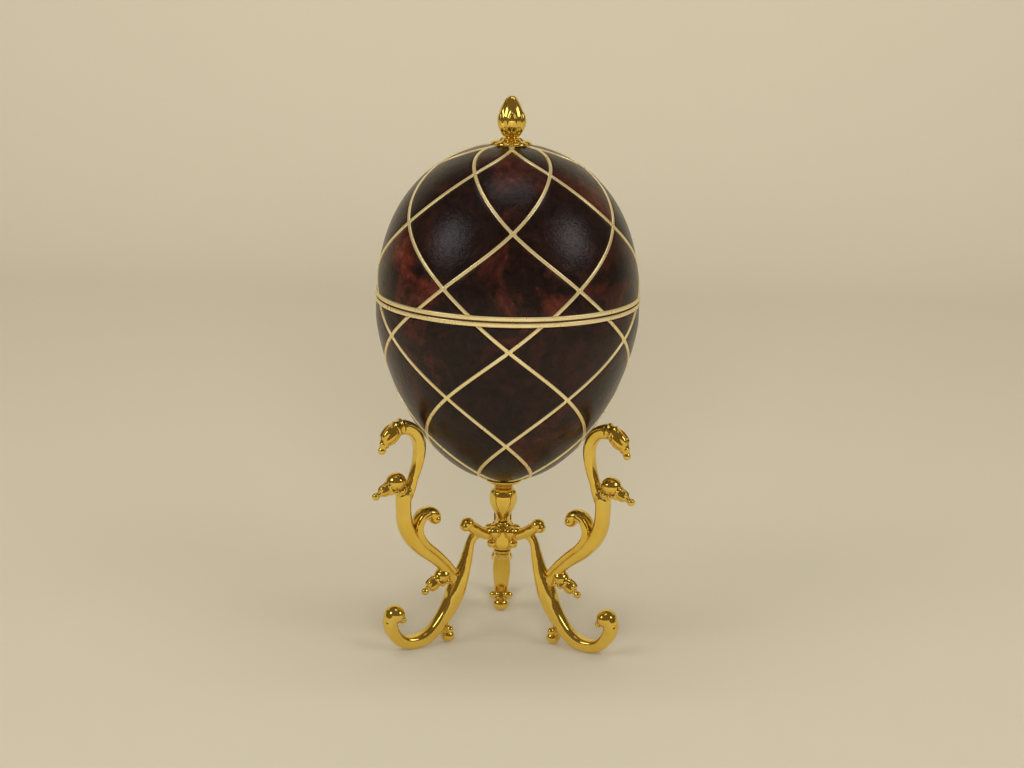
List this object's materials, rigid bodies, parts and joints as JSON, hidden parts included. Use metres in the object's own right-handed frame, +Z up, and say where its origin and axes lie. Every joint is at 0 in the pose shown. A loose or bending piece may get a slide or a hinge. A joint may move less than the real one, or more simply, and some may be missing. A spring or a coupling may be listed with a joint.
{
  "type": "egg-shaped lidded box on tripod stand",
  "caption": "Egg-shaped box with a dark shell veneer and a brass lattice, a lift-off lid with a bud finial, and a scrolled cast tripod stand.",
  "frame": {"origin": "on the floor, under the middle of the whole outline; the egg's axis stands 5.8 mm in front of it, because the rear leg reaches further than the egg's front", "axes": "+Z up along the egg's axis, -Y towards the front between the two front legs, the rear leg along +Y"},
  "size_m": [0.1654, 0.1772, 0.3484],
  "materials": {
    "cast_brass": "polished casting",
    "inlay_brass": "satin polished strip",
    "pen_shell": "mottled dark shell under clear lacquer",
    "composite": "matt black lacquered inside",
    "fixing_steel": "plain machined"
  },
  "bodies": {
    "base": {"base_core": "composite", "base_veneer": "pen_shell", "base_inlay": "inlay_brass", "base_rim": "inlay_brass", "locating_lip": "inlay_brass", "base_cup": "cast_brass", "stem_knop": "cast_brass", "hub": "cast_brass", "tie_rod_stud": "fixing_steel", "tie_rod_washer": "fixing_steel", "tie_rod_nut": "fixing_steel", "hub_cap_nut": "cast_brass", "leg_rear": "cast_brass", "leg_front_left": "cast_brass", "leg_front_right": "cast_brass", "leg_stud_rear": "fixing_steel", "leg_stud_front_left": "fixing_steel", "leg_stud_front_right": "fixing_steel"},
    "lid": {"lid_core": "composite", "lid_veneer": "pen_shell", "lid_inlay": "inlay_brass", "lid_rim": "inlay_brass", "finial_collar": "cast_brass", "finial_bud": "cast_brass", "finial_stud": "fixing_steel", "finial_washer": "fixing_steel", "finial_nut": "fixing_steel"}
  },
  "joints": [
    {"name": "lid_lift", "type": "slide", "parent": "base", "child": "lid", "axis": [0, 0, 1], "range_m": [0, 0.13]}
  ]
}
